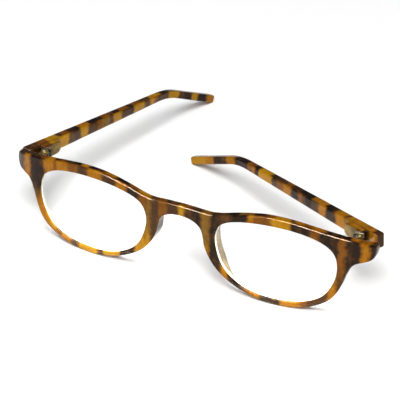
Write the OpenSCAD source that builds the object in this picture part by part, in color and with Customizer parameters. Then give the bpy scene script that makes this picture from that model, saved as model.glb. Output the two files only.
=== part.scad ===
// Folding reading glasses: a full-rim moulded front with two clear lenses and
// two slim temples, each on a five-knuckle metal hinge with a small screw.
// X runs along the front, +Y runs back towards the ears, +Z is up.
// The origin is on the table, under the middle of the glasses as they stand on
// the lower rims and on the two temple tips. The +X temple is part folded.

/* [Front] */
// Radius of the front's base curve, seen from above
base_r = 390; // [330:5:450]
// Thickness of the moulded front, front face to back face
front_t = 3.1; // [3.0:0.1:3.6]
// Radius of the endpieces, where they turn back to the temples
sweep_r = 22.6; // [20:0.2:40]
// Extra thickness of the pads moulded behind the nasal rims
nose_pad_t = 4.2; // [1.2:0.2:4.8]
// Half height of the moulded rest behind each endpiece
rest_half_h = 3.1; // [2.9:0.1:3.2]

/* [Lenses] */
// Thickness of each lens
lens_t = 1.6; // [1.3:0.1:1.7]
// Depth of the lens face behind the front face of the rim
lens_inset = 0.7; // [0.6:0.05:0.8]
// Reach of the lens bevel into the rim
bevel_reach = 0.6; // [0.4:0.05:0.7]
// Width of the lens bevel
bevel_w = 0.8; // [0.6:0.1:0.9]

/* [Temples] */
// Pivot to bend, measured level
bend_at = 81.5; // [70:0.5:100]
// Length of the tail beyond the bend
tail_l = 33.6; // [25:0.2:45]
// Slope of the straight part, degrees down
main_slope = 6.6; // [4:0.2:8]
// Slope of the tail, degrees down
tail_slope = 26.5; // [16:0.5:32]
// Radius of the bend along the centre line
bend_r = 38; // [10:1:50]
// Height of the temple at its front end
temple_h_front = 5.6; // [5.4:0.1:6.6]
// Height of the temple at the bend
temple_h_bend = 3; // [2.6:0.1:4.5]
// Height of the temple at its tip
temple_h_tip = 3.2; // [2.6:0.1:4.5]
// Thickness of the temple at its front end
temple_t_front = 3.9; // [3.5:0.1:4.2]
// Thickness of the temple from the bend to the tip
temple_t_tail = 3.1; // [2.6:0.1:3.6]
// Thickness of the block that holds the hinge
boss_t = 1.9; // [1.6:0.1:2.0]
// Distance from pivot to the rear end of that block
boss_end = 12.4; // [11.6:0.2:16]

/* [Hinges] */
// Pivot position across, from the middle of the front
pivot_x = 61.2; // [61:0.1:61.4]
// Pivot position back, from the middle of the front
pivot_y = 14.7; // [14.6:0.1:14.8]
// Angle by which an open temple leans inwards
toe_in = 9; // [8:0.5:10]
// Pivot to outer face of the temple
pivot_to_outer = 8.4; // [8.3:0.1:8.6]
// Pivot to the front end of the temple
pivot_to_end = 3.1; // [2.9:0.1:3.5]
// Outside radius of the knuckles
knuckle_r = 1.4; // [1.3:0.05:1.5]
// Height of one knuckle
knuckle_h = 1.1; // [1.0:0.01:1.14]
// Height of the knuckles' middle above the middle of the temple
hinge_lift = 0.5; // [0.2:0.1:0.6]
// Gap between knuckles
knuckle_gap = 0.06; // [0.04:0.01:0.1]
// Radius of the hinge screw
screw_r = 0.6; // [0.5:0.05:0.65]
// Radial clearance of the hinge screw
screw_play = 0.04; // [0.02:0.01:0.08]

/* [Placing] */
// Distance from the front of the bridge back to the origin
origin_back = 63.1; // [40:0.1:80]

/* [Pose] */
// Fold of the temple on the +X side, from fully open
fold_plus = 50.4; // [0:0.2:79]
// Fold of the temple on the -X side, from fully open
fold_minus = 2; // [0:0.2:34]

/* [Hidden] */
$fn = 48;
big_fn = 360;
eps = 0.02;
amber = [0.72, 0.47, 0.13];
brown = [0.33, 0.19, 0.12];
pitch = knuckle_h + knuckle_gap;
axis_d = norm([pivot_x, base_r - pivot_y]);
// An open temple stops this far behind the front.
rest_gap = 0.38;
rest_r = axis_d + pivot_to_end + rest_gap;
inner_face = pivot_to_outer - temple_t_front;
// Where the tighter curve of the endpieces takes over from the wide one.
sweep_at = 58;
sweep_a = asin(sweep_at / base_r);
main_c = [0, base_r - origin_back];
sweep_c = main_c + (base_r - sweep_r) * [sin(sweep_a), -cos(sweep_a)];

// ---- curves -------------------------------------------------------------

// A smooth curve through control points: one point of a Catmull-Rom span.
function cr(a, b, c, d, t) =
    0.5 * (2 * b + (c - a) * t + (2 * a - 5 * b + 4 * c - d) * t * t
    + (3 * b - a - 3 * c + d) * t * t * t);

// Closed smooth curve, n points per span.
function closed_curve(p, n) =
    let (m = len(p))
    [for (i = [0 : m - 1]) for (k = [0 : n - 1])
        cr(p[(i + m - 1) % m], p[i], p[(i + 1) % m], p[(i + 2) % m], k / n)];

// Open smooth curve, n points per span, ends included.
function open_curve(p, n) =
    let (m = len(p))
    [for (i = [0 : m - 2]) for (k = [0 : n - 1])
        cr(p[max(i - 1, 0)], p[i], p[i + 1], p[min(i + 2, m - 1)], k / n), p[m - 1]];

function flip(p) = [for (i = [len(p) - 1 : -1 : 0]) [-p[i][0], p[i][1]]];

// Lens opening of the +X eye: nasal side first, then over the top.
eye_points = [
    [13.2, 1.0], [14.0, 6.5], [17.0, 9.8], [23.7, 11.8],
    [32.6, 12.7], [42.0, 12.4], [50.4, 10.6], [55.6, 7.2],
    [57.3, 1.9], [56.5, -4.5], [52.9, -11.0], [46.7, -14.7],
    [37.8, -16.2], [28.4, -15.6], [21.0, -12.5], [15.8, -7.2]];

// Lower edge of the +X half: bridge, nasal rim, lower rim, endpiece.
lower_points = [
    [0, 8.0], [3.3, 7.6], [6.2, 6.3], [7.9, 4.3],
    [8.7, 1.4], [9.4, -1.9], [11.1, -5.6], [13.7, -9.2],
    [17.2, -12.3], [22.0, -15.1], [27.4, -17.1], [33.0, -18.3],
    [38.9, -18.5], [44.3, -17.8], [49.5, -16.0], [54.0, -13.4],
    [57.0, -10.1], [59.0, -5.8], [60.3, -1.6], [61.0, 0.3],
    [61.9, 2.3], [63.3, 3.65], [65.4, 4.3], [67.3, 4.85], [68.5, 5.8]];

// Upper edge of the +X half, from the endpiece back to the bridge.
upper_points = [
    [69.1, 7.5], [69.15, 9.5], [68.45, 10.8], [65.2, 11.95],
    [61.6, 12.95], [57, 13.6], [52, 14.25], [47.2, 14.95], [42, 15.65],
    [36.8, 16], [31.5, 15.9], [27.3, 15.35], [23.1, 14.5],
    [19.2, 13.5], [15.2, 12.35], [11.5, 11.7], [7.7, 11.8],
    [3.8, 12], [0, 12.1]];

eye = closed_curve(eye_points, 5);
half_edge = open_curve(concat(lower_points, upper_points), 4);
mirrored = flip(half_edge);
whole_edge = concat(half_edge, [for (i = [1 : len(half_edge) - 2]) mirrored[i]]);
// The glasses rest on a narrow flat under each rim.
foot_flat = 0.06;
front_z = -min([for (p = whole_edge) p[1]]) - foot_flat;
outline = [for (p = whole_edge) [p[0], max(p[1], -front_z)]];

// ---- temple side profile --------------------------------------------------

// Centre line of the temple, as [distance back, height, slope, share of bar height].
bend_c = bend_at;
half_arc = bend_r * tan((tail_slope - main_slope) / 2);
arc_steps = 6;
bend_z = -bend_at * tan(main_slope);
arc_start = [bend_c - half_arc * cos(main_slope), bend_z + half_arc * sin(main_slope)];
arc_mid = arc_start + bend_r * [-sin(main_slope), -cos(main_slope)];
tip_c = [bend_c + tail_l * cos(tail_slope), bend_z - tail_l * sin(tail_slope)];

function slope_at(k) = main_slope + (tail_slope - main_slope) * k / arc_steps;
function up(a) = [sin(a), cos(a)];
function along(a) = [cos(a), -sin(a)];

// Rounded end of the bar: a quarter turn at the top, then one at the bottom.
function end_cap(c, a, h, r, way) =
    [for (s = [1, -1]) for (k = [0 : 4])
        let (q = s > 0 ? k * 22.5 : 90 - k * 22.5)
        c + way * (sin(q) * r - r) * along(a) + s * (h / 2 - r + r * cos(q)) * up(a)];

front_c = [-pivot_to_end, pivot_to_end * tan(main_slope)];
front_cap = end_cap(front_c, main_slope, temple_h_front, 0.9, -1);
front_end = [for (i = [9 : -1 : 0]) front_cap[i]];
profile = concat(
    end_cap(tip_c, tail_slope, temple_h_tip, 1.1, 1),
    [for (k = [arc_steps : -1 : 0])
        arc_mid + (bend_r - temple_h_bend / 2) * up(slope_at(k))],
    front_end,
    [for (k = [0 : arc_steps])
        arc_mid + (bend_r + temple_h_bend / 2) * up(slope_at(k))]);
hinge_z = -min([for (p = profile) p[1]]);

// ---- placing helpers ------------------------------------------------------

// Children drawn in the front's plane, pushed through its full depth.
module through_front() {
    translate([0, 22 - origin_back, front_z])
        rotate([90, 0, 0])
            linear_extrude(height = 26)
                children();
}

// Upright cylinder about a centre seen from above.
module post(c, r) {
    translate([c[0], c[1], -4])
        cylinder(r = r, h = 48, $fn = big_fn);
}

// Upright wedge about a centre, between two directions from straight forwards.
module wedge(c, from, to, reach) {
    translate([0, 0, -3])
        linear_extrude(height = 46)
            polygon(concat([c],
                [for (k = [0 : 4])
                    let (a = from + (to - from) * k / 4)
                    c + reach * [sin(a), -cos(a)]]));
}

// Part of the sheet between two depths behind the front face: a wide curve in
// the middle and a tighter one at each end, which takes over without a step.
module sheet(d0, d1) {
    intersection() {
        difference() {
            post(main_c, base_r - d0);
            post(main_c, base_r - d1);
        }
        wedge(main_c, -sweep_a, sweep_a, 1.2 * base_r);
    }
}

module end_sheet(d0, d1) {
    intersection() {
        difference() {
            post(sweep_c, sweep_r - d0);
            post(sweep_c, sweep_r - d1);
        }
        wedge(sweep_c, sweep_a, sweep_a + 80, 2 * sweep_r);
    }
}

// +X hinge frame: origin on the pivot, +Y along the open temple, +X outwards.
module at_hinge(fold = 0) {
    translate([pivot_x, pivot_y - origin_back, hinge_z])
        rotate([0, 0, toe_in + fold])
            children();
}

module on_side(side) {
    mirror([side < 0 ? 1 : 0, 0, 0])
        children();
}

// Box given by its two corners.
module box(a, b) {
    translate(a)
        cube(b - a);
}

// ---- front and lenses -----------------------------------------------------

module outline_2d() {
    polygon(outline);
}

module eye_2d(grow = 0) {
    offset(delta = grow)
        polygon(eye);
}

module both_eyes(grow = 0) {
    eye_2d(grow);
    mirror([1, 0, 0])
        eye_2d(grow);
}

// Where the hinge foot and its two pegs sit in the endpiece.
module front_foot(play = 0) {
    back = -pivot_to_end - rest_gap;
    translate([0, 0, hinge_lift]) {
        box([-3.2 - play, back - 1 - play, -2.6 - play],
            [2.4 + play, back + (play > 0 ? 1 : 0.1), 2.6 + play]);
        for (x = [-2.1, 1.3])
            translate([x, back - 0.8, 0])
                rotate([90, 0, 0])
                    cylinder(r = 0.6 + play, h = 1.8 + play);
    }
}

// A soft swelling behind the nasal rim, long up and down and short across.
module nose_pad_zone() {
    intersection() {
        translate([2, -4.7 - origin_back, 15.4])
            rotate([0, 90, 0])
                cylinder(r = 12.8, h = 22);
        translate([12.5, -3.5 - origin_back, 0])
            cylinder(r = 11, h = 32);
    }
}

module front_frame() {
    color(amber)
        difference() {
            union() {
                intersection() {
                    through_front() outline_2d();
                    sheet(0, front_t);
                }
                for (s = [-1, 1]) on_side(s)
                    intersection() {
                        through_front() outline_2d();
                        end_sheet(0, front_t);
                    }
                // Pads that rest on the nose, thicker than the rim.
                for (s = [-1, 1]) on_side(s)
                    intersection() {
                        through_front()
                            intersection() {
                                outline_2d();
                                translate([2, -20])
                                    square([20, 30]);
                            }
                        sheet(front_t - 0.5, front_t + nose_pad_t);
                        nose_pad_zone();
                    }
                // Rests behind the endpieces that the open temples meet.
                for (s = [-1, 1]) on_side(s)
                    intersection() {
                        through_front()
                            intersection() {
                                outline_2d();
                                translate([57.4, hinge_z + hinge_lift - front_z - rest_half_h])
                                    square([14, 2 * rest_half_h]);
                            }
                        post(sweep_c, sweep_r - front_t + 0.5);
                    }
            }
            // The rear faces of the endpieces, where the open temples stop.
            post(main_c, rest_r);
            through_front() both_eyes();
            // Groove that holds the lens bevel.
            intersection() {
                through_front() both_eyes(bevel_reach + 0.05);
                sheet(lens_inset + (lens_t - bevel_w) / 2 - 0.04,
                      lens_inset + (lens_t + bevel_w) / 2 + 0.04);
            }
            for (s = [-1, 1]) on_side(s)
                at_hinge() front_foot(0.02);
        }
}

module lens(side) {
    color([0.86, 0.93, 0.95, 0.35])
        on_side(side)
            union() {
                intersection() {
                    through_front() eye_2d(-0.04);
                    sheet(lens_inset, lens_inset + lens_t);
                }
                intersection() {
                    through_front() eye_2d(bevel_reach);
                    sheet(lens_inset + (lens_t - bevel_w) / 2,
                          lens_inset + (lens_t + bevel_w) / 2);
                }
            }
}

// ---- temples --------------------------------------------------------------

module temple_foot(play = 0) {
    box([3.3 - play, 2.4 - play, -1.6 - play], [4.1 + play, 9.6 + play, 1.2 + play]);
}

module temple(side, fold) {
    in_tail = pivot_to_outer - temple_t_tail;
    color(brown)
        on_side(side) at_hinge(fold)
            difference() {
                union() {
                    // The bar: side profile cut to its thickness from above.
                    intersection() {
                        rotate([90, 0, 90])
                            linear_extrude(height = 12)
                                polygon(profile);
                        translate([0, 0, -45])
                            linear_extrude(height = 60)
                                polygon([[pivot_to_outer, -8], [pivot_to_outer, 140],
                                         [in_tail, 140], [in_tail, bend_at],
                                         [inner_face, boss_end], [inner_face, -8]]);
                    }
                    // Block that holds the hinge, with a chamfered lower rear corner.
                    translate([inner_face - boss_t, 0, 0])
                        rotate([90, 0, 90])
                            linear_extrude(height = boss_t + 1)
                                rotate(-main_slope)
                                    polygon([[3.0, 2.5], [boss_end - 0.7, 2.3], [boss_end, 1.7],
                                             [boss_end, -1.2], [boss_end - 1.4, -2.3], [3.0, -2.6]]);
                }
                temple_foot(0.02);
                box([-2, 2.0, -1.62], [4.12, 3.07, 2.27]);
            }
}

// ---- hinges ---------------------------------------------------------------

// Bottom of knuckle i, 0 at the bottom to 4 at the top.
function knuckle_z(i) = hinge_lift + (i - 2) * pitch - knuckle_h / 2;

module knuckle(i) {
    translate([0, 0, knuckle_z(i)])
        cylinder(r = knuckle_r, h = knuckle_h);
}

module screw_bore() {
    translate([0, 0, -4])
        cylinder(r = screw_r + screw_play, h = 8);
}

module front_leaf(side) {
    color([0.62, 0.58, 0.44])
        on_side(side) at_hinge()
            difference() {
                union() {
                    front_foot();
                    for (i = [0, 2, 4]) {
                        knuckle(i);
                        box([-0.75, 0.05 - pivot_to_end - rest_gap, knuckle_z(i)],
                            [0.75, 0, knuckle_z(i) + knuckle_h]);
                    }
                }
                screw_bore();
            }
}

module temple_leaf(side, fold) {
    color([0.35, 0.33, 0.32])
        on_side(side) at_hinge(fold)
            difference() {
                union() {
                    temple_foot();
                    box([-0.75, 2.0, -1.6], [4.1, 3.05, 2.25]);
                    for (i = [1, 3]) {
                        knuckle(i);
                        box([-0.75, 0, knuckle_z(i)], [0.75, 2.6, knuckle_z(i) + knuckle_h]);
                    }
                }
                screw_bore();
            }
}

module hinge_screw(side) {
    top = knuckle_z(4) + knuckle_h;
    color([0.75, 0.72, 0.62])
        on_side(side) at_hinge()
            difference() {
                union() {
                    translate([0, 0, knuckle_z(0) - 0.3])
                        cylinder(r = screw_r, h = top - knuckle_z(0) + 0.4);
                    translate([0, 0, top])
                        cylinder(r = 1.15, h = 0.55);
                }
                box([-2, -0.15, top + 0.3], [2, 0.15, top + 1]);
            }
}

front_frame();
lens(-1);  // lens_left
lens(1);  // lens_right
temple(-1, fold_minus);  // temple_left
temple(1, fold_plus);  // temple_right
front_leaf(-1);  // front_leaf_left
front_leaf(1);  // front_leaf_right
temple_leaf(-1, fold_minus);  // temple_leaf_left
temple_leaf(1, fold_plus);  // temple_leaf_right
hinge_screw(-1);  // hinge_screw_left
hinge_screw(1);  // hinge_screw_right
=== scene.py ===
"""Folding reading glasses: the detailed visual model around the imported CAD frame."""
import math

import bpy
import numpy as np
from mathutils import Matrix, Vector
from mathutils.geometry import delaunay_2d_cdt


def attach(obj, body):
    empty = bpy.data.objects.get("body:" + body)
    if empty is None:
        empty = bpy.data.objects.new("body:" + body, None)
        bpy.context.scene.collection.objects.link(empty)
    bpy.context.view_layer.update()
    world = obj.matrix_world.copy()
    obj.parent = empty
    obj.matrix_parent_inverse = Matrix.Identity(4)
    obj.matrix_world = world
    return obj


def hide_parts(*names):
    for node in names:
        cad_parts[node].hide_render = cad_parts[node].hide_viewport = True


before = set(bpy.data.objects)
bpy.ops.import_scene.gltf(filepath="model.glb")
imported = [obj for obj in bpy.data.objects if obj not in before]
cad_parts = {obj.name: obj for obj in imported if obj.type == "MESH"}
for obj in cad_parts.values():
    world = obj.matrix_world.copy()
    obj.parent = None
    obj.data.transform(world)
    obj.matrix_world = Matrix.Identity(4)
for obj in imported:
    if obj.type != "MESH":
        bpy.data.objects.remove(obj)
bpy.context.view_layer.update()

# ---------------------------------------------------------------- sizes (mm)
MM = 0.001
BASE_R, FRONT_T, ORIGIN_BACK = 390.0, 3.1, 63.1
EDGE_R = 0.75            # rounding of the front's edges
LENS_T, LENS_INSET = 1.6, 0.7
PIVOT_BACK = 14.7        # behind the foremost point of the front
PIVOT = (61.2, PIVOT_BACK - ORIGIN_BACK)
TOE_IN, REST_GAP = 9.0, 0.38
SWEEP_R, SWEEP_AT = 22.6, 58.0
OUTER, TO_END = 8.4, 3.1
H_FRONT, H_BEND, H_TIP = 5.6, 3.0, 3.2
T_FRONT, T_TAIL = 3.9, 3.1
MAIN_SLOPE, TAIL_SLOPE = math.radians(6.6), math.radians(26.5)
BEND_AT, BEND_R, TAIL_L = 81.5, 38.0, 33.6
BAR_CORNER = 0.8         # rounding along the temple bar
BAR_ENDS = (0.8, 1.15)   # rounding at its hinge end and at its tip
TIP_R = 1.1              # rounding of the CAD bar's tip
BOSS_T, BOSS_IN, BOSS_END = 1.9, 0.6, 12.4
KNUCKLE_R, KNUCKLE_H, KNUCKLE_GAP, LIFT = 1.4, 1.1, 0.06, 0.5
TAB_HALF_W, TAB_IN = 0.75, 0.02
SCREW_R, HEAD_R, HEAD_LOW, HEAD_HIGH = 0.6, 1.15, 0.3, 0.55
FOLD = {1: 50.4, -1: 2.0}     # degrees that each temple is folded in the stored pose
SIDE_NAME = {1: "right", -1: "left"}

EYE = [(13.2, 1.0), (14.0, 6.5), (17.0, 9.8), (23.7, 11.8), (32.6, 12.7), (42.0, 12.4), (50.4, 10.6),
       (55.6, 7.2), (57.3, 1.9), (56.5, -4.5), (52.9, -11.0), (46.7, -14.7), (37.8, -16.2), (28.4, -15.6),
       (21.0, -12.5), (15.8, -7.2)]
LOWER = [(0, 8.0), (3.3, 7.6), (6.2, 6.3), (7.9, 4.3), (8.7, 1.4), (9.4, -1.9), (11.1, -5.6), (13.7, -9.2),
         (17.2, -12.3), (22.0, -15.1), (27.4, -17.1), (33.0, -18.3), (38.9, -18.5), (44.3, -17.8),
         (49.5, -16.0), (54.0, -13.4), (57.0, -10.1), (59.0, -5.8), (60.3, -1.6), (61.0, 0.3), (61.9, 2.3),
         (63.3, 3.65), (65.4, 4.3), (67.3, 4.85), (68.5, 5.8)]
UPPER = [(69.1, 7.5), (69.15, 9.5), (68.45, 10.8), (65.2, 11.95), (61.6, 12.95), (57, 13.6), (52, 14.25),
         (47.2, 14.95), (42, 15.65), (36.8, 16), (31.5, 15.9), (27.3, 15.35), (23.1, 14.5), (19.2, 13.5),
         (15.2, 12.35), (11.5, 11.7), (7.7, 11.8), (3.8, 12), (0, 12.1)]
FLAT = 0.06              # how far the lower rims are cut flat, where they stand on the table
PAD_AT, PAD_HALF, PAD_DEPTH = (12.4, -3.1), (8.6, 12.5), 4.15     # nose pads: centre, half sizes
REST_START, REST_OVER, REST_HALF_H, REST_INNER_X = 2.6, 0.01, 3.0, 57.5


# ---------------------------------------------------------------- curves
def catmull(points, n, closed):
    """Smooth curve through the points, n points a span."""
    p = np.array(points, float)
    m = len(p)
    out = []
    for i in range(m if closed else m - 1):
        a = p[(i - 1) % m] if closed else p[max(i - 1, 0)]
        b, c = p[i], p[(i + 1) % m]
        d = p[(i + 2) % m] if closed else p[min(i + 2, m - 1)]
        for k in range(n):
            t = k / n
            square, cube = 2 * a - 5 * b + 4 * c - d, 3 * b - a - 3 * c + d
            out.append(0.5 * (2 * b + (c - a) * t + square * t * t + cube * t ** 3))
    if not closed:
        out.append(p[-1])
    return np.array(out)


def turned(loop, ccw):
    """The loop, going the way round that is asked for."""
    x, y = loop[:, 0], loop[:, 1]
    area = 0.5 * np.sum(x * np.roll(y, -1) - np.roll(x, -1) * y)
    return loop if (area > 0) == ccw else loop[::-1]


def away(loop):
    """Unit normals to the right of the way round: out of the material for a ccw outline or a cw opening."""
    t = np.roll(loop, -1, 0) - np.roll(loop, 1, 0)
    n = np.stack([t[:, 1], -t[:, 0]], 1)
    return n / np.linalg.norm(n, axis=1)[:, None]


def inside(pts, loop):
    """Which points lie inside the loop."""
    x, y = pts[:, 0][:, None], pts[:, 1][:, None]
    x0, y0 = loop[:, 0][None], loop[:, 1][None]
    x1, y1 = np.roll(loop[:, 0], -1)[None], np.roll(loop[:, 1], -1)[None]
    cross = ((y0 > y) != (y1 > y)) & (x < (x1 - x0) * (y - y0) / (y1 - y0 + 1e-12) + x0)
    return cross.sum(1) % 2 == 1


def unit(v):
    return v / np.maximum(np.linalg.norm(v, axis=-1, keepdims=True), 1e-12)


half = catmull(LOWER + UPPER, 8, False)
mirrored = half[::-1] * [-1, 1]
OUTLINE = turned(np.vstack([half, mirrored[1:-1]]), True)
FRONT_Z = -OUTLINE[:, 1].min() - FLAT
EYE_LOOP = catmull(EYE, 12, True)


# ---------------------------------------------------------------- mesh gathering
class Shell:
    """Vertices, faces and corner normals of one piece, with a grain coordinate at each vertex."""

    def __init__(self):
        self.points, self.grains, self.faces, self.normals, self.mats = [], [], [], [], []

    def add(self, pts, grain):
        base = len(self.points)
        self.points.extend(np.asarray(pts, float))
        self.grains.extend(np.asarray(grain, float))
        return base

    def face(self, idx, normals, mat=0):
        p = [self.points[i] for i in idx]
        flat = np.zeros(3)
        for i in range(len(p)):
            flat += np.cross(p[i], p[(i + 1) % len(p)])
        if np.dot(flat, sum(normals)) < 0:
            idx, normals = idx[::-1], normals[::-1]
        self.faces.append(tuple(idx))
        self.normals.append(list(normals))
        self.mats.append(mat)

    def build(self, name, materials):
        mesh = bpy.data.meshes.new(name)
        mesh.from_pydata([tuple(p * MM) for p in self.points], [], self.faces)
        for m in materials:
            mesh.materials.append(m)
        for poly, m in zip(mesh.polygons, self.mats):
            poly.material_index = m
            poly.use_smooth = True
        grain = mesh.attributes.new("grain", "FLOAT_VECTOR", "POINT")
        grain.data.foreach_set("vector", np.array(self.grains, "f").ravel())
        mesh.normals_split_custom_set([tuple(unit(np.asarray(n))) for face in self.normals for n in face])
        mesh.update()
        obj = bpy.data.objects.new(name, mesh)
        bpy.context.scene.collection.objects.link(obj)
        return obj


def fill(loops, spacing):
    """Triangles between an outline and its openings, with a staggered field of points inside."""
    outline, holes = loops[0], loops[1:]
    lo, hi = outline.min(0), outline.max(0)
    pts = [np.zeros((0, 2))]
    row = 0
    y = lo[1] + spacing / 2
    while y < hi[1]:
        xs = np.arange(lo[0] + (spacing / 2 if row % 2 else 0), hi[0], spacing)
        pts.append(np.stack([xs, np.full(len(xs), y)], 1))
        y += spacing * 0.87
        row += 1
    pts = np.vstack(pts)
    keep = inside(pts, outline)
    for h in holes:
        keep &= ~inside(pts, h)
    pts = pts[keep]
    rim = np.vstack(loops)
    if len(pts):
        near = np.array([np.min(np.sum((rim - p) ** 2, 1)) for p in pts])
        pts = pts[near > (0.5 * spacing) ** 2]
    edges, base = [], 0
    for loop in loops:
        edges += [(base + i, base + (i + 1) % len(loop)) for i in range(len(loop))]
        base += len(loop)
    every = np.vstack([rim, pts]) if len(pts) else rim
    out = delaunay_2d_cdt([Vector(p) for p in every], edges, [], 1, 1e-6)
    first = [o[0] for o in out[3]]
    tris = np.array([[first[i] for i in f] for f in out[2]])
    mid = every[tris].mean(1)
    keep = inside(mid, outline)
    for h in holes:
        keep &= ~inside(mid, h)
    return every, tris[keep], len(rim)


def plate(shell, loops, place, thick, profiles, grain, spacing, floor=None):
    """A moulded sheet. Each profile lists the wall from front to back as
    (inset, share of the thickness, depth, angle in, angle out, material).
    Angle 0 faces forwards and 180 backwards."""
    e = 1e-3             # step for slopes

    def surface(a, b, back):
        def at(x, y):
            return place(x, y, thick(x, y) if back else np.zeros_like(x))
        n = unit(np.cross(at(a + e, b) - at(a - e, b), at(a, b + e) - at(a, b - e)))
        into = place(a, b, np.full_like(a, e)) - place(a, b, np.zeros_like(a))
        s = np.sign(np.sum(n * into, 1, keepdims=True))
        return n * s if back else -n * s

    rims = []
    for loop, profile in zip(loops, profiles):
        N = away(loop)
        rings = []
        for inset, share, depth, ang_in, ang_out, mat in profile:
            p = loop - N * inset
            if floor is not None:
                p = np.stack([p[:, 0], np.maximum(p[:, 1], floor)], 1)
            d = share * thick(p[:, 0], p[:, 1]) + depth
            q = place(p[:, 0], p[:, 1], d)
            down = unit(place(p[:, 0], p[:, 1], d + e) - q)
            out = place(p[:, 0] + N[:, 0] * e, p[:, 1] + N[:, 1] * e, d) - q
            wall = unit(out - np.sum(out * down, 1, keepdims=True) * down)
            front, back = surface(p[:, 0], p[:, 1], False), surface(p[:, 0], p[:, 1], True)

            def normal(angle):
                c, s = math.cos(math.radians(angle)), math.sin(math.radians(angle))
                return unit((c * front if c > 0 else -c * back) + s * wall)

            first = shell.add(q, grain(p[:, 0], p[:, 1], d))
            rings.append((first, p, normal(ang_in), normal(ang_out), mat))
        n = len(loop)
        for (b0, _, _, n0, mat), (b1, _, n1, _, _) in zip(rings, rings[1:]):
            for i in range(n):
                j = (i + 1) % n
                shell.face([b0 + i, b0 + j, b1 + j, b1 + i], [n0[i], n0[j], n1[j], n1[i]], mat)
        rims.append(rings)
    for back in (False, True):
        ring_of = [r[-1] if back else r[0] for r in rims]
        every, tris, n_rim = fill([r[1] for r in ring_of], spacing)
        a, b = every[:, 0], every[:, 1]
        rim_index = [r[0] + i for r in ring_of for i in range(len(r[1]))]
        d = thick(a, b) if back else np.zeros_like(a)
        inner = slice(n_rim, None)
        base = shell.add(place(a, b, d)[inner], grain(a, b, d)[inner]) if len(a) > n_rim else 0
        index = rim_index + [base + i for i in range(len(a) - n_rim)]
        nrm = surface(a, b, back)
        for t in tris:
            shell.face([index[i] for i in t], [nrm[i] for i in t])


def rounded(r, steps=5, mat=0, middle=()):
    """Wall of a sheet with both edges rounded, and anything cut into the middle of the wall."""
    arc = []
    for k in range(steps + 1):
        t = 90 * k / steps
        arc.append((r * (1 - math.sin(math.radians(t))), r * (1 - math.cos(math.radians(t))), t))
    front = [(inset, 0, depth, t, t, mat) for inset, depth, t in arc]
    rear = [(inset, 1, -depth, 180 - t, 180 - t, mat) for inset, depth, t in arc[::-1]]
    return front + list(middle) + rear


def plain_grain(x, y, depth):
    return np.stack([x, y, depth], 1)


def even(thickness):
    """The same thickness all over a sheet."""
    return lambda x, y: np.full_like(x, thickness)


def round_corners(corners, r, steps=4):
    """A polygon with each corner turned into an arc."""
    p = np.array(corners, float)
    out = []
    for i in range(len(p)):
        a, b, c = p[i - 1], p[i], p[(i + 1) % len(p)]
        u, w = unit(a - b), unit(c - b)
        half_angle = math.acos(max(-1, min(1, float(np.dot(u, w))))) / 2
        reach = min(r / math.tan(half_angle), 0.48 * np.linalg.norm(a - b), 0.48 * np.linalg.norm(c - b))
        radius = reach * math.tan(half_angle)
        centre = b + unit(u + w) * radius / math.sin(half_angle)
        first, last = b + u * reach - centre, b + w * reach - centre
        turn = math.atan2(first[0] * last[1] - first[1] * last[0], float(np.dot(first, last)))
        for k in range(steps + 1):
            t = turn * k / steps
            c, s = math.cos(t), math.sin(t)
            out.append(centre + (first[0] * c - first[1] * s, first[0] * s + first[1] * c))
    return np.array(out)


# ---------------------------------------------------------------- places
REST_R = math.hypot(PIVOT[0], BASE_R - PIVOT_BACK) + TO_END + REST_GAP
SWEEP_A = math.asin(SWEEP_AT / BASE_R)
SWEEP_C = ((BASE_R - SWEEP_R) * math.sin(SWEEP_A), BASE_R - (BASE_R - SWEEP_R) * math.cos(SWEEP_A))


def front_place(x, z, depth):
    """A point of the front: a wide curve in the middle and a tighter one at the ends, which stop at
    the rear of the rests."""
    ax = np.abs(x)
    wide = BASE_R - np.sqrt((BASE_R - depth) ** 2 - ax * ax)
    ex = ax - SWEEP_C[0]
    tight = SWEEP_C[1] - np.sqrt(np.maximum((SWEEP_R - depth) ** 2 - ex * ex, 0.04))
    y = np.where(ax > (BASE_R - depth) * math.sin(SWEEP_A), tight, wide)
    y = np.minimum(y, BASE_R - np.sqrt(REST_R ** 2 - ax * ax))
    return np.stack([x, y - ORIGIN_BACK, z + FRONT_Z], 1)


ARC_HALF = BEND_R * math.tan((TAIL_SLOPE - MAIN_SLOPE) / 2)
BEND_Z = -BEND_AT * math.tan(MAIN_SLOPE)


def centre_line():
    """Stations of the temple bar as (distance back, height, slope, run along the bar)."""
    rows = []
    in_main, in_bend, in_tail = 56, 12, 20
    cm, sm = math.cos(MAIN_SLOPE), math.sin(MAIN_SLOPE)
    y_arc = BEND_AT - ARC_HALF * cm
    z_arc = BEND_Z + ARC_HALF * sm
    for k in range(in_main):
        y = -TO_END + (y_arc + TO_END) * k / in_main
        rows.append((y, -y * math.tan(MAIN_SLOPE), MAIN_SLOPE))
    centre = (y_arc - BEND_R * sm, z_arc - BEND_R * cm)
    for k in range(in_bend):
        a = MAIN_SLOPE + (TAIL_SLOPE - MAIN_SLOPE) * k / in_bend
        rows.append((centre[0] + BEND_R * math.sin(a), centre[1] + BEND_R * math.cos(a), a))
    ct, st = math.cos(TAIL_SLOPE), math.sin(TAIL_SLOPE)
    for k in range(in_tail + 1):
        d = ARC_HALF + (TAIL_L - ARC_HALF) * k / in_tail
        rows.append((BEND_AT + d * ct, BEND_Z - d * st, TAIL_SLOPE))
    run = [-TO_END]
    for (y0, z0, _), (y1, z1, _) in zip(rows, rows[1:]):
        run.append(run[-1] + math.hypot(y1 - y0, z1 - z0))
    return [r + (s,) for r, s in zip(rows, run)]


LINE = np.array(centre_line())
TIP_Z = BEND_Z - TAIL_L * math.sin(TAIL_SLOPE)


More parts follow.
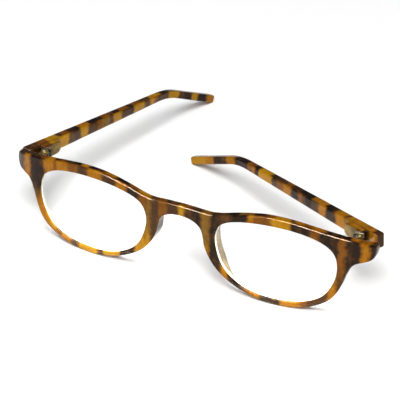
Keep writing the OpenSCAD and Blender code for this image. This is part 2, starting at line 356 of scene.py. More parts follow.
def pivot_height():
    """Height of the pivot that sets the lowest point of the CAD bar's tip on the table."""
    lows = []
    for k in range(5):
        q = math.radians(90 - 22.5 * k)
        along = math.sin(q) * TIP_R - TIP_R
        lift = -(H_TIP / 2 - TIP_R + TIP_R * math.cos(q))
        lows.append(TIP_Z - along * math.sin(TAIL_SLOPE) + lift * math.cos(TAIL_SLOPE))
    return -min(lows)


HINGE_Z = pivot_height()


def hinge_place(side, fold):
    """The hinge frame: +x outwards, +y back along the temple, z up, with the pivot as origin."""
    a = math.radians(TOE_IN + fold)
    c, s = math.cos(a), math.sin(a)

    def to_row(x, y, z):
        return np.stack([side * (PIVOT[0] + x * c - y * s), PIVOT[1] + x * s + y * c, z + HINGE_Z], 1)
    return to_row


def inner_face(y):
    """Where the inner face of the bar is, which thins from the hinge block to the bend."""
    return np.interp(y, [BOSS_END, BEND_AT], [OUTER - T_FRONT, OUTER - T_TAIL])


# ---------------------------------------------------------------- solids
def bar(shell, side, fold):
    """The temple: a rounded section swept along the centre line, with rounded ends."""
    to_row = hinge_place(side, fold)
    steps, margin, least_r = 5, 0.3, 0.12
    total = LINE[-1, 3] - LINE[0, 3]
    near_r, tip_r = BAR_ENDS
    heights = ([-TO_END, BEND_AT - ARC_HALF, BEND_AT + ARC_HALF, LINE[-1, 0]],
               [H_FRONT, H_BEND, H_BEND, H_TIP])
    runs = []
    for k in range(6):
        t = math.radians(90 * k / 5)
        runs.append((near_r * (1 - math.cos(t)), near_r * (1 - math.sin(t)), -math.cos(t)))
    for s in LINE[:, 3] - LINE[0, 3]:
        if near_r + margin < s < total - tip_r - margin:
            runs.append((s, 0, 0))
    for k in range(5, -1, -1):
        t = math.radians(90 * k / 5)
        runs.append((total - tip_r * (1 - math.cos(t)), tip_r * (1 - math.sin(t)), math.cos(t)))
    rings = []
    for s, shrink, tilt in runs:
        run = s + LINE[0, 3]
        y, z, slope = (np.interp(run, LINE[:, 3], LINE[:, k]) for k in (0, 1, 2))
        h = np.interp(y, *heights)
        x_in, x_out = inner_face(y), OUTER
        hx, hz = (x_out - x_in) / 2 - shrink, h / 2 - shrink
        cx = (x_out + x_in) / 2
        r = max(BAR_CORNER - shrink, least_r)
        pts, nrm = [], []
        for qx, qz, start in ((1, 1, 0), (-1, 1, 90), (-1, -1, 180), (1, -1, 270)):
            for k in range(steps + 1):
                t = math.radians(start + 90 * k / steps)
                ct, st = math.cos(t), math.sin(t)
                pts.append((cx + qx * (hx - r) + r * ct, qz * (hz - r) + r * st))
                nrm.append((ct, st))
        pts, nrm = np.array(pts), np.array(nrm)
        cs, sn = math.cos(slope), math.sin(slope)
        px, lift = pts[:, 0], pts[:, 1]
        q = to_row(px, y + lift * sn, z + lift * cs)
        flat = math.sqrt(max(0, 1 - tilt * tilt))
        nx, nl = nrm[:, 0] * flat, nrm[:, 1] * flat
        o = to_row(np.zeros(1), np.zeros(1), np.zeros(1))
        n3 = to_row(nx, nl * sn + tilt * cs, nl * cs - tilt * sn) - o
        share = (px - x_in) / (x_out - x_in)
        grain = np.stack([np.full(len(px), y), lift, share * 4], 1)
        rings.append((shell.add(q, grain), n3, q, grain))
    n = len(rings[0][1])
    for (b0, n0, _, _), (b1, n1, _, _) in zip(rings, rings[1:]):
        for i in range(n):
            j = (i + 1) % n
            shell.face([b0 + i, b0 + j, b1 + j, b1 + i], [n0[i], n0[j], n1[j], n1[i]])
    for b, n3, q, g in (rings[0], rings[-1]):
        c = shell.add([q.mean(0)], [g.mean(0)])
        for i in range(n):
            shell.face([b + i, b + (i + 1) % n, c], [n3.mean(0)] * 3)


def lathe(shell, to_row, rows, segs=40):
    """A turned part about the pivot's direction, from rows of (radius, height, angle in, angle out).
    Angle 0 faces outwards and 90 up."""
    o = to_row(np.zeros(1), np.zeros(1), np.zeros(1))
    t = np.linspace(0, 2 * math.pi, segs, endpoint=False)
    rings = []
    for r, z, a0, a1 in rows:
        q = to_row(r * np.cos(t), r * np.sin(t), np.full(segs, z))
        both = []
        for a in (a0, a1):
            c, s = math.cos(math.radians(a)), math.sin(math.radians(a))
            both.append(to_row(c * np.cos(t), c * np.sin(t), np.full(segs, s)) - o)
        g = np.stack([t * 3, np.full(segs, z), np.full(segs, r)], 1)
        rings.append((shell.add(q, g), both[0], both[1]))
    for (b0, _, n0), (b1, n1, _) in zip(rings, rings[1:]):
        for i in range(segs):
            j = (i + 1) % segs
            shell.face([b0 + i, b0 + j, b1 + j, b1 + i], [n0[i], n0[j], n1[j], n1[i]])


def block(shell, to_row, lo, hi, r=0.15, across="y"):
    """A box with every edge rounded, given by two corners in the hinge frame."""
    ia, ib, ic = {"x": (1, 2, 0), "y": (0, 2, 1), "z": (0, 1, 2)}[across]
    corners = [(lo[ia], lo[ib]), (hi[ia], lo[ib]), (hi[ia], hi[ib]), (lo[ia], hi[ib])]
    loop = turned(round_corners(corners, r), True)

    def place(a, b, d):
        c = [None] * 3
        c[ia], c[ib], c[ic] = a, b, lo[ic] + d
        return to_row(*[np.asarray(v, float) for v in c])

    plate(shell, [loop], place, even(hi[ic] - lo[ic]), [rounded(r * 0.8, 3)], plain_grain, 4)


def knuckle(shell, to_row, i):
    """One of the five barrels on the pivot, counted from the lowest. Gives the height it starts at."""
    z = LIFT + (i - 2) * (KNUCKLE_H + KNUCKLE_GAP) - KNUCKLE_H / 2
    c, bore, top = 0.12, SCREW_R + 0.04, z + KNUCKLE_H
    lathe(shell, to_row, [
        (bore, z, 180, -90), (KNUCKLE_R - c, z, -90, -45), (KNUCKLE_R, z + c, -45, 0),
        (KNUCKLE_R, top - c, 0, 45), (KNUCKLE_R - c, top, 45, 90), (bore, top, 90, 180),
        (bore, z, 180, 180)])
    return z


def tab(shell, to_row, y0, y1, z):
    """The tab that joins a barrel to its leaf."""
    block(shell, to_row, (-TAB_HALF_W, y0, z + TAB_IN), (TAB_HALF_W, y1, z + KNUCKLE_H - TAB_IN), 0.1, "z")


def front_leaf(shell, side):
    """The leaf on the rest: a flange, three barrels and two pegs into the front."""
    to_row = hinge_place(side, 0)
    back = -TO_END - REST_GAP
    block(shell, to_row, (-3.2, back - 1, LIFT - 2.6), (2.4, back + 0.1, LIFT + 2.6), 0.14)
    for i in (0, 2, 4):
        z = knuckle(shell, to_row, i)
        tab(shell, to_row, back + 0.02, -0.9, z)
    peg = [(0.0, -1.8), (0.45, -1.8), (0.6, -1.6), (0.6, 0.3)]
    for x in (-2.1, 1.3):
        def across(px, py, pz, x=x):
            return to_row(np.asarray(px) + x, back - 0.8 + np.asarray(pz), LIFT + np.asarray(py))
        lathe(shell, across, [(r, z, 0, 0) for r, z in peg], segs=20)


def temple_leaf(shell, side, fold):
    """The leaf on the hinge block: a plate let into it, a flange and two barrels."""
    to_row = hinge_place(side, fold)
    block(shell, to_row, (3.3, 2.4, -1.6), (4.1, 9.6, 1.2), 0.12, "x")
    block(shell, to_row, (-TAB_HALF_W, 2.0, -1.6), (4.1, 3.05, 2.25), 0.2)
    for i in (1, 3):
        z = knuckle(shell, to_row, i)
        tab(shell, to_row, 0.9, 2.6, z)


def boss(shell, side, fold):
    """The block that holds the hinge, with a chamfered lower rear corner."""
    to_row = hinge_place(side, fold)
    cs, sn = math.cos(MAIN_SLOPE), math.sin(MAIN_SLOPE)
    corners = [(3.15, 2.5), (BOSS_END - 0.7, 2.3), (BOSS_END, 1.7), (BOSS_END, -1.2),
               (BOSS_END - 1.4, -2.3), (3.15, -2.6)]
    loop = turned(round_corners([(y * cs + z * sn, -y * sn + z * cs) for y, z in corners], 0.5), True)
    x0 = OUTER - T_FRONT - BOSS_T
    plate(shell, [loop], lambda a, b, d: to_row(x0 + d, a, b), even(BOSS_T + BOSS_IN),
          [rounded(0.35, 4, 1)], plain_grain, 1.5)


def screw(shell, side):
    """The hinge screw: a shank and a head, with a driver slot across the head."""
    to_row = hinge_place(side, 0)
    reach = 2 * (KNUCKLE_H + KNUCKLE_GAP) + KNUCKLE_H / 2
    bottom, top = LIFT - reach, LIFT + reach
    lathe(shell, to_row, [
        (0.0, bottom - 0.3, -90, -90), (SCREW_R - 0.15, bottom - 0.3, -90, -45),
        (SCREW_R, bottom - 0.15, -45, 0), (SCREW_R, top + 0.02, 0, 0)], 28)
    lathe(shell, to_row, [
        (0.0, top, -90, -90), (HEAD_R - 0.12, top, -90, -45), (HEAD_R, top + 0.1, -45, 0),
        (HEAD_R, top + HEAD_LOW, 0, 90), (0.0, top + HEAD_LOW, 90, 90)])

    def place(a, b, d):
        return to_row(a, b, top + HEAD_HIGH - d)
    for half_turn in (1, -1):
        # Half of the head's top, beside the driver slot.
        t = np.radians(np.linspace(9, 171, 15))
        arc = np.stack([1.12 * np.cos(t), half_turn * 1.12 * np.sin(t)], 1)
        plate(shell, [turned(arc, True)], place, even(0.27), [rounded(0.1, 3)], plain_grain, 2)


# ---------------------------------------------------------------- colours
PALETTE = {
    "honey": (0.315, 0.150, 0.002),
    "amber": (0.260, 0.100, 0.001),
    "olive": (0.14, 0.070, 0.006),
    "rust": (0.13, 0.043, 0.002),
    "umber": (0.040, 0.017, 0.005),
    "ink": (0.006, 0.0025, 0.002),
}
# Stripes of the tortoiseshell sheet: where each starts, in mm along the part, and its colour. The front
# has one set for its upper half, one for its lower half and one for its edges and rear; a temple has one
# set for its inner side and one for its outer side.
FRONT_TOP = """
    -75 umber -65.2 amber -62 ink -55.5 amber -51.5 rust -50.6 amber -45 rust -41.5 umber
    -36.8 amber -31 umber -25.3 amber -21.3 ink -16.2 rust -13 olive -11.4 umber -8.2 rust
    -5 umber -0.7 honey 1.7 umber 4.4 ink 8.2 olive 11.4 ink 14.8 umber 19.8 ink 25.2 amber
    27.4 rust 33.8 honey 40.6 ink 47.6 rust 50.6 ink 57.4 rust 60 ink 64.8 amber 67.4 ink"""
FRONT_LOW = """
    -75 amber -57.5 amber -53.5 honey -50.4 rust -48 amber -44 umber -41 honey -33 umber
    -30.2 honey -23.6 ink -17.6 honey -11.5 umber -8 olive 0 umber 9 amber 11.5 ink 16 amber
    18.6 ink 24.2 rust 27.2 amber 31 ink 38 amber 45 rust 47.6 umber 55 amber 57.6 umber
    60.2 ink"""
FRONT_EDGE = """
    -75 umber -57.5 rust -54.5 honey -51.5 umber -49.5 rust -46.5 umber -43 ink -39.8 honey
    -36.6 ink -30.6 amber -26 ink -20.5 rust -16.6 honey -11.8 umber -8.6 rust -5.5 umber
    -0.8 rust 4.5 umber 8.5 olive 11.5 umber 17.6 ink 22 olive 27 ink 31.4 rust 34.6 honey
    39.8 umber 41.4 amber 45 rust 48 amber 52.6 ink 61 amber 63.6 rust 65.4 amber 67.6 umber"""
LEFT_IN = """
    -6 umber 7.4 olive 13.6 honey 19.4 umber 26 honey 30.6 umber 36 rust 38.4 olive 43.4 umber
    46.2 honey 50.8 umber 55.5 ink 58.4 honey 65.4 umber 68.8 honey 71.4 rust 74 umber
    80.8 honey 87.6 umber 91.5 ink 96 honey 99.8 ink 106 amber"""
LEFT_OUT = """
    -6 umber 2.6 rust 7.8 honey 14 umber 16.5 rust 20.4 ink 26.2 amber 32.2 ink 40 rust 44 umber
    47 ink 50.4 rust 56 ink 58.6 rust 63 umber 69.2 honey 76 ink 86.2 rust 89.6 ink 97.2 amber
    101 ink 107 amber"""
RIGHT_IN = """
    -6 amber 0.4 umber 6 olive 14.8 amber 20 ink 25.5 amber 30 umber 34 ink 37.5 umber 40 rust
    42 ink 47 amber 51.2 rust 55.4 ink 58.4 honey 67 ink 69.4 amber 71.2 rust 74.6 ink
    82.2 amber 88 umber 91.6 ink 96 amber 101.4 honey"""
RIGHT_OUT = """
    -6 umber 0.2 amber 14 umber 15.4 amber 20.6 ink 26.6 amber 34.4 ink 42.2 umber 43.4 ink
    47.6 rust 50.6 umber 56.4 ink 60 honey 67.2 ink 70.2 rust 74.6 ink 83.2 amber 89.2 ink
    98 honey 108.4 ink"""


class Nodes:
    """Short hands for a material's node tree."""

    def __init__(self, name):
        self.mat = bpy.data.materials.new(name)
        self.mat.use_nodes = True
        self.nt = self.mat.node_tree
        self.bsdf = self.nt.nodes["Principled BSDF"]
        self.out = self.nt.nodes["Material Output"]

    def put(self, socket, value):
        if hasattr(value, "links"):
            self.nt.links.new(value, socket)
        else:
            socket.default_value = value

    def math(self, op, a, b=0.0, clamp=False):
        n = self.nt.nodes.new("ShaderNodeMath")
        n.operation, n.use_clamp = op, clamp
        self.put(n.inputs[0], a)
        self.put(n.inputs[1], b)
        return n.outputs[0]

    def scaled(self, vector, x, y, z):
        n = self.nt.nodes.new("ShaderNodeVectorMath")
        n.operation = "MULTIPLY"
        self.put(n.inputs[0], vector)
        n.inputs[1].default_value = (x, y, z)
        return n.outputs[0]

    def noise(self, vector, scale=1.0, detail=2.0, rough=0.5):
        n = self.nt.nodes.new("ShaderNodeTexNoise")
        self.put(n.inputs["Vector"], vector)
        n.inputs["Scale"].default_value = scale
        n.inputs["Detail"].default_value = detail
        n.inputs["Roughness"].default_value = rough
        return n.outputs["Fac"]

    def span(self, value, a, b, lo=0.0, hi=1.0, kind="SMOOTHSTEP"):
        n = self.nt.nodes.new("ShaderNodeMapRange")
        n.interpolation_type = kind
        self.put(n.inputs["Value"], value)
        for key, v in (("From Min", a), ("From Max", b), ("To Min", lo), ("To Max", hi)):
            n.inputs[key].default_value = v
        return n.outputs["Result"]

    def mix(self, factor, a, b, how="MIX"):
        n = self.nt.nodes.new("ShaderNodeMix")
        n.data_type, n.blend_type = "RGBA", how
        self.put(n.inputs[0], factor)
        for s, v in ((n.inputs[6], a), (n.inputs[7], b)):
            self.put(s, v if hasattr(v, "links") else tuple(v) + (1.0,))
        return n.outputs[2]

    def bump(self, height, strength, distance):
        n = self.nt.nodes.new("ShaderNodeBump")
        n.inputs["Strength"].default_value = strength
        n.inputs["Distance"].default_value = distance
        self.put(n.inputs["Height"], height)
        return n.outputs["Normal"]

    def attribute(self, name):
        n = self.nt.nodes.new("ShaderNodeAttribute")
        n.attribute_name = name
        return n.outputs["Vector"]

    def bands(self, along, spec, soft=1.3):
        """Colour of the stripe at a distance along the part, over as many ramps as the stripes need."""
        words = spec.split()
        stripes = [(float(s), c) for s, c in zip(words[::2], words[1::2])]
        result = None
        most = 15        # a ramp holds 32 stops, and a stripe takes two
        for k in range(0, len(stripes), most):
            part = stripes[k:k + most]
            lo, hi = part[0][0] - 2, part[-1][0] + 2
            ramp = self.nt.nodes.new("ShaderNodeValToRGB")
            ramp.color_ramp.interpolation = "LINEAR"
            self.put(ramp.inputs[0], self.span(along, lo, hi, kind="LINEAR"))
            stops = ramp.color_ramp.elements
            stops[0].position = 0
            stops[0].color = PALETTE[part[0][1]] + (1,)
            stops[1].position = 1
            stops[1].color = PALETTE[part[-1][1]] + (1,)
            for (_, before), (start, after) in zip(part, part[1:]):
                for side, colour in ((-1, before), (1, after)):
                    stop = stops.new((start + side * soft / 2 - lo) / (hi - lo))
                    stop.color = PALETTE[colour] + (1,)
            colour = ramp.outputs[0]
            if result is None:
                result = colour
            else:
                start = part[0][0]
                result = self.mix(self.span(along, start - soft / 2, start + soft / 2), result, colour)
        return result


def wobble(n, vector, scale, detail, reach):
    """Noise about zero, in mm."""
    return n.math("MULTIPLY", n.math("SUBTRACT", n.noise(vector, scale, detail), 0.5), reach)


def tortoise(name, near, far, share_range, edge=None):
    """Moulded tortoiseshell: a striped sheet, cloudy inside and polished outside. The stripes go from one
    set to the other over a range of one grain axis. The front has a third set behind its front face,
    multiplied darker as painted shade on its edges and rear."""
    n = Nodes(name)
    grain = n.attribute("grain")
    sep = n.nt.nodes.new("ShaderNodeSeparateXYZ")
    n.put(sep.inputs[0], grain)
    u, v, w = sep.outputs
    wave = wobble(n, n.scaled(grain, 0.6, 1.0, 1.0), 0.3, 2, 2.2)
    fray = wobble(n, n.scaled(grain, 0.5, 1.3, 1.3), 0.7, 3, 1.3)
    along = n.math("ADD", u, n.math("ADD", wave, fray))
    axis, a, b = share_range
    share = n.span(v if axis == "v" else w, a, b)
    colour = n.mix(share, n.bands(along, near), n.bands(along, far))
    if edge:
        # Painted shade: the edge and rear stripes are multiplied darker.
        shaded_edge_colour = n.mix(1.0, n.bands(along, edge), (0.85, 0.8, 0.8), "MULTIPLY")
        colour = n.mix(n.span(w, 0.35, 1.1), colour, shaded_edge_colour)
        shine = 0.26
    else:
        # Duller from the bend on.
        shine = n.span(u, 79.0, 83.0, 0.24, 0.05)
    # Clouds, streaks and flecks inside the stripes.
    streak = n.noise(n.scaled(grain, 1.0, 0.22, 0.4), 0.8, 4, 0.6)
    cloud = n.noise(grain, 0.4, 4, 0.65)
    warm = n.noise(n.scaled(grain, 0.8, 0.4, 0.6), 0.5, 3)
    fleck = n.noise(n.scaled(grain, 1.0, 0.5, 1.0), 1.3, 3)
    colour = n.mix(n.span(streak, 0.5, 0.7, 0.0, 0.6), colour, (0.45, 0.3, 0.22), "MULTIPLY")
    colour = n.mix(n.span(cloud, 0.5, 0.68, 0.0, 1.0), colour, (1.25, 1.2, 1.2), "MULTIPLY")
    depth = n.mix(n.span(warm, 0.45, 0.7), (0.0, 0.0, 0.0), (0.035, 0.014, 0.002))
    colour = n.mix(1.0, colour, depth, "ADD")
    colour = n.mix(n.span(fleck, 0.54, 0.66, 0.0, 0.6), colour, (0.95, 0.62, 0.9), "MULTIPLY")
    n.put(n.bsdf.inputs["Base Color"], colour)
    wipe = n.noise(grain, 0.35, 3)
    n.put(n.bsdf.inputs["Roughness"], n.span(wipe, 0.3, 0.7, 0.1, 0.16))
    n.put(n.bsdf.inputs["Normal"], n.bump(n.noise(grain, 0.5, 2), 0.12, 0.0004))
    n.bsdf.inputs["IOR"].default_value = 1.49
    n.put(n.bsdf.inputs["Specular IOR Level"], shine)
    n.bsdf.inputs["Specular Tint"].default_value = (1.0, 0.72, 0.48, 1)
    return n.mat


def cut_face(name, pale, deep, dark, tip=None):
    """Cut and polished inner face of the sheet: cloudy, with a milled grain. Where a tip range is given,
    the face carries painted shade, darkest at the range's start and gone at its end."""
    n = Nodes(name)
    grain = n.attribute("grain")
    milled = n.noise(n.scaled(grain, 0.6, 2.4, 1.0), 1.0, 3)
    cloud = n.noise(grain, 0.35, 3)
    colour = n.mix(n.span(cloud, 0.38, 0.62), deep, pale)
    if tip:
        sep = n.nt.nodes.new("ShaderNodeSeparateXYZ")
        n.put(sep.inputs[0], grain)
        # Painted shade, fading out along the tip range.
        colour = n.mix(n.span(sep.outputs[0], tip[0], tip[1], 0.75, 0.0), colour, dark)
    colour = n.mix(n.span(milled, 0.5, 0.68, 0, 0.6), colour, dark)
    n.put(n.bsdf.inputs["Base Color"], colour)
    n.put(n.bsdf.inputs["Roughness"], n.span(milled, 0.3, 0.7, 0.18, 0.34))
    n.put(n.bsdf.inputs["Normal"], n.bump(milled, 0.2, 0.0002))
    n.bsdf.inputs["Specular IOR Level"].default_value = 0.22
    n.bsdf.inputs["Specular Tint"].default_value = (1.0, 0.75, 0.5, 1)
    return n.mat


def metal(name, light, dark, rough):
    """Plated hinge metal, with turning lines and tarnish."""
    n = Nodes(name)
    grain = n.attribute("grain")
    lines = n.noise(n.scaled(grain, 0.4, 14.0, 0.4), 1.0, 2)
    tarnish = n.noise(grain, 0.9, 4, 0.65)
    colour = n.mix(n.span(tarnish, 0.4, 0.66), light, dark)
    colour = n.mix(n.span(lines, 0.35, 0.7, 0, 0.25), colour, tuple(c * 0.5 for c in dark))
    n.put(n.bsdf.inputs["Base Color"], colour)
    n.bsdf.inputs["Metallic"].default_value = 1.0
    n.put(n.bsdf.inputs["Roughness"], n.span(tarnish, 0.3, 0.7, rough, rough + 0.2))
    n.put(n.bsdf.inputs["Normal"], n.bump(lines, 0.15, 0.00006))
    return n.mat


def clear_lens():
    """Clear glass that lets most of the light through in its shadow."""
    n = Nodes("lens_glass")
    haze = n.noise(n.attribute("grain"), 0.06, 2)
    n.put(n.bsdf.inputs["Base Color"], n.mix(haze, (0.985, 0.995, 0.995), (1.0, 1.0, 1.0)))
    n.bsdf.inputs["Transmission Weight"].default_value = 1.0
    n.bsdf.inputs["Roughness"].default_value = 0.0
    n.bsdf.inputs["IOR"].default_value = 1.5
    through = n.nt.nodes.new("ShaderNodeBsdfTransparent")
    through.inputs["Color"].default_value = (0.96, 0.97, 0.97, 1)
    path = n.nt.nodes.new("ShaderNodeLightPath")
    mix = n.nt.nodes.new("ShaderNodeMixShader")
    n.nt.links.new(path.outputs["Is Shadow Ray"], mix.inputs[0])
    n.nt.links.new(n.bsdf.outputs[0], mix.inputs[1])
    n.nt.links.new(through.outputs[0], mix.inputs[2])
    n.nt.links.new(mix.outputs[0], n.out.inputs["Surface"])
    return n.mat


def ground_edge():
    """The bevelled rim of a lens: ground, so it scatters light. Its pale tone is the ground glass; its
    brown tone is a painted reflection of the lit tortoise rim.
    """
    n = Nodes("lens_edge")
    grain = n.attribute("grain")
    marks = n.noise(n.scaled(grain, 1.0, 1.0, 12.0), 1.2, 3)
    # Brown: painted reflection of the lit tortoise rim; pale: the ground glass.
    colour = n.mix(n.span(marks, 0.3, 0.7), (0.42, 0.34, 0.21), (0.88, 0.86, 0.78))
    n.put(n.bsdf.inputs["Base Color"], colour)
    n.put(n.bsdf.inputs["Roughness"], n.span(marks, 0.3, 0.7, 0.35, 0.55))
    n.bsdf.inputs["Transmission Weight"].default_value = 0.35
    return n.mat


# ---------------------------------------------------------------- the front
def pad_swell(x, z):
    """Extra depth of the nose pads behind the nasal rims."""
    a = np.clip(1 - ((np.abs(x) - PAD_AT[0]) / PAD_HALF[0]) ** 2, 0, 1)
    b = np.clip(1 - ((z - PAD_AT[1]) / PAD_HALF[1]) ** 2, 0, 1)
    return PAD_DEPTH * a ** 1.15 * b


def front_thick(x, z):
    return FRONT_T + pad_swell(x, z)


def eye_loops():
    loop = turned(EYE_LOOP, False)
    return [loop, turned(loop * [-1, 1], False)]


def rest_place(x, z, depth):
    """A point of a rest, which starts inside the front."""
    return front_place(x, z, depth + REST_START)


def rest_thick(x, z):
    """Depth of a rest, to the arc that the open temples meet."""
    arc = BASE_R - np.sqrt(REST_R ** 2 - x * x)
    return arc - front_place(x, z, REST_START)[:, 1] - ORIGIN_BACK + REST_OVER


def rest_loop(side):
    """Outline of a rest: its outer side follows the endpiece."""
    mid_z = HINGE_Z + LIFT - FRONT_Z
    low, high = mid_z - REST_HALF_H, mid_z + REST_HALF_H
    outer = [p for p in half if p[0] > 62 and low < p[1] < high]
    loop = [(REST_INNER_X, high), (REST_INNER_X, low), (outer[0][0] - 0.3, low)]
    loop += [(p[0] - 0.25, p[1]) for p in outer if abs(p[1] - mid_z) < REST_HALF_H - 0.2]
    loop += [(outer[-1][0] - 0.3, high)]
    kept = [np.array(loop[0])]
    for p in loop[1:]:
        if np.linalg.norm(p - kept[-1]) > 0.3:
            kept.append(np.array(p))
    return turned(np.array(kept) * [side, 1], True)


FRONT_MAT = tortoise("tortoise_front", FRONT_LOW, FRONT_TOP, ("v", -7.0, 3.0), FRONT_EDGE)

# The groove that holds a lens. Behind it, the wall of the opening is cut and shows the other material.
groove_at, groove_w, groove_d = LENS_INSET + LENS_T / 2, 1.1, 0.62
groove = [(0, 0, groove_at - groove_w / 2, 90, 45, 0), (groove_d, 0, groove_at, 45, 135, 0),
          (0, 0, groove_at + groove_w / 2, 135, 90, 1)]
EYE_WALL = cut_face("eye_wall_cut", (0.15, 0.112, 0.058), (0.095, 0.062, 0.027), (0.04, 0.022, 0.008))
shell = Shell()
plate(shell, [OUTLINE] + eye_loops(), front_place, front_thick,
      [rounded(EDGE_R), rounded(0.35, 4, middle=groove), rounded(0.35, 4, middle=groove)],
      plain_grain, 1.2, floor=-FRONT_Z)
front = shell.build("front_moulding", [FRONT_MAT, EYE_WALL])
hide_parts("front_frame")
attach(front, "front")

# Rests behind the endpieces, which the open temples meet.
for side in (1, -1):
    shell = Shell()
    plate(shell, [rest_loop(side)], rest_place, rest_thick, [rounded(0.3, 3)], plain_grain, 1.2)
    rest = shell.build("front_rest_" + SIDE_NAME[side], [FRONT_MAT])
    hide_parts("front_frame")
    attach(rest, "front")

# ---------------------------------------------------------------- lenses
GLASS, EDGE = clear_lens(), ground_edge()
bevel_at, bevel_half = LENS_T / 2, 0.48
lens_profile = [(0.16, 0, 0, 0, 30, 1), (0.06, 0, 0.1, 60, 90, 1),
                (0.06, 0, bevel_at - bevel_half, 90, 45, 1), (-0.5, 0, bevel_at, 45, 135, 1),
                (0.06, 0, bevel_at + bevel_half, 135, 90, 1), (0.06, 0, LENS_T - 0.1, 90, 120, 1),
                (0.16, 0, LENS_T, 150, 180, 1)]
for side in (1, -1):
    shell = Shell()
    # Depth is measured from the front face of the lens.
    plate(shell, [turned(EYE_LOOP * [side, 1], True)], lambda x, z, d: front_place(x, z, d + LENS_INSET),
          even(LENS_T), [lens_profile], plain_grain, 1.6)
    lens = shell.build("lens_blank_" + SIDE_NAME[side], [GLASS, EDGE])
    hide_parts("lens_" + SIDE_NAME[side])
    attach(lens, "front")

# ---------------------------------------------------------------- temples and hinges
TEMPLE_MAT = {-1: tortoise("tortoise_temple_left", LEFT_IN, LEFT_OUT, ("w", 0.15, 1.0)),
              1: tortoise("tortoise_temple_right", RIGHT_IN, RIGHT_OUT, ("w", 0.15, 1.0))}
# The hinge block gets painted shade towards the hinge, fading out from 6 to 11.5 mm.
BOSS_MAT = cut_face("hinge_block", (0.20, 0.130, 0.026), (0.14, 0.080, 0.012), (0.04, 0.02, 0.006),
                    (6.0, 11.5))
BRASS = metal("hinge_brass_worn", (0.20, 0.145, 0.045), (0.03, 0.02, 0.008), 0.3)
STEEL = metal("hinge_steel_dark", (0.045, 0.036, 0.022), (0.008, 0.006, 0.004), 0.26)
BRIGHT = metal("screw_steel_bright", (0.22, 0.18, 0.11), (0.03, 0.022, 0.012), 0.22)

for side in (1, -1):
    word, fold = SIDE_NAME[side], FOLD[side]
    body = "temple_" + word
    shell = Shell()
    bar(shell, side, fold)
    obj = shell.build("temple_bar_" + word, [TEMPLE_MAT[side]])
    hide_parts("temple_" + word)
    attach(obj, body)

    shell = Shell()
    boss(shell, side, fold)
    obj = shell.build("temple_boss_" + word, [BOSS_MAT, TEMPLE_MAT[side]])
    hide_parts("temple_" + word)
    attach(obj, body)

    shell = Shell()
    temple_leaf(shell, side, fold)
    obj = shell.build("hinge_leaf_rear_" + word, [STEEL])
    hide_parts("temple_leaf_" + word)
    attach(obj, body)

    shell = Shell()
    front_leaf(shell, side)
    obj = shell.build("hinge_leaf_front_" + word, [BRASS])
    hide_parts("front_leaf_" + word)
    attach(obj, "front")

    shell = Shell()
    screw(shell, side)
    obj = shell.build("hinge_pin_" + word, [BRIGHT])
    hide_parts("hinge_screw_" + word)
    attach(obj, "front")

# ---------------------------------------------------------------- floor, lights, camera
bpy.ops.mesh.primitive_plane_add(size=6, location=(0, 0, 0))
floor = bpy.context.object
floor.name = "studio_floor"
paper = Nodes("floor_paper")
paper.bsdf.inputs["Base Color"].default_value = (0.9, 0.9, 0.9, 1)
paper.bsdf.inputs["Roughness"].default_value = 0.9
paper.bsdf.inputs["Specular IOR Level"].default_value = 0.0
floor.data.materials.append(paper.mat)

world = bpy.data.worlds.new("soft_room")
bpy.context.scene.world = world
world.use_nodes = True
sky = world.node_tree
direction = sky.nodes.new("ShaderNodeTexCoord")
facing = sky.nodes.new("ShaderNodeVectorMath")
facing.operation = "DOT_PRODUCT"
facing.inputs[1].default_value = (0.15, -0.80, 0.58)
strength = sky.nodes.new("ShaderNodeMapRange")
for key, value in (("From Min", -0.35), ("From Max", 1.0), ("To Min", 0.08), ("To Max", 0.52)):
    strength.inputs[key].default_value = value
sky.links.new(direction.outputs["Generated"], facing.inputs[0])
sky.links.new(facing.outputs["Value"], strength.inputs["Value"])
sky.links.new(strength.outputs[0], sky.nodes["Background"].inputs["Strength"])
sky.nodes["Background"].inputs["Color"].default_value = (1, 1, 1, 1)

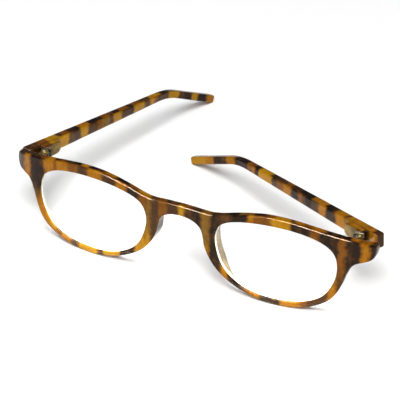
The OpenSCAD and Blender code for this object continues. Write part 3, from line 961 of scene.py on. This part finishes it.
LIGHT_DISTANCE, LIGHT_TARGET = 2.4, Vector((0, -0.01, 0.01))
KEY_FROM, KEY_SIZE, KEY_ENERGY = (0.25, -0.75, 1.0), 1.1, 68.0
GLINT_FROM, GLINT_SIZE, GLINT_ENERGY = (-0.05, -0.85, 1.15), (2.0, 0.15), 520.0


def area_light(name, toward, size, energy):
    light = bpy.data.lights.new(name, "AREA")
    light.shape, light.size, light.energy = "DISK", size, energy
    obj = bpy.data.objects.new(name, light)
    way = Vector(toward).normalized()
    obj.location = LIGHT_TARGET + way * LIGHT_DISTANCE
    obj.rotation_euler = way.to_track_quat("Z", "Y").to_euler()
    bpy.context.scene.collection.objects.link(obj)
    return obj


area_light("key_light", KEY_FROM, KEY_SIZE, KEY_ENERGY)
# A strip that shows only in reflections.
glint = area_light("glint_light", GLINT_FROM, GLINT_SIZE[0], GLINT_ENERGY)
glint.data.shape, glint.data.size_y = "RECTANGLE", GLINT_SIZE[1]
glint.visible_diffuse = False

AZ, EL, ROLL = 0.423, 0.541, 0.035       # radians
DISTANCE, AIM = 795.458, Vector((0, -31.6, 15.75))
PICTURE_PX, FOCAL_PX, SHIFT_PX = 400, 2218.307, (17.607, 1.541)
SENSOR_MM = 36
back = Vector((math.sin(AZ) * math.cos(EL), -math.cos(AZ) * math.cos(EL), math.sin(EL)))
right = (-back).cross(Vector((0, 0, 1))).normalized()
up = right.cross(-back)
cr, sr = math.cos(ROLL), math.sin(ROLL)
right, up = cr * right + sr * up, -sr * right + cr * up
camera = bpy.data.cameras.new("camera")
camera.sensor_width = SENSOR_MM
camera.lens = FOCAL_PX / PICTURE_PX * SENSOR_MM
camera.shift_x, camera.shift_y = -SHIFT_PX[0] / PICTURE_PX, SHIFT_PX[1] / PICTURE_PX
camera.clip_start = 0.05
cam = bpy.data.objects.new("camera", camera)
place = (AIM + back * DISTANCE) * MM
cam.matrix_world = Matrix(((right.x, up.x, back.x, place.x), (right.y, up.y, back.y, place.y),
                           (right.z, up.z, back.z, place.z), (0, 0, 0, 1)))
bpy.context.scene.collection.objects.link(cam)
bpy.context.scene.camera = cam
bpy.context.scene.view_settings.view_transform = "Standard"
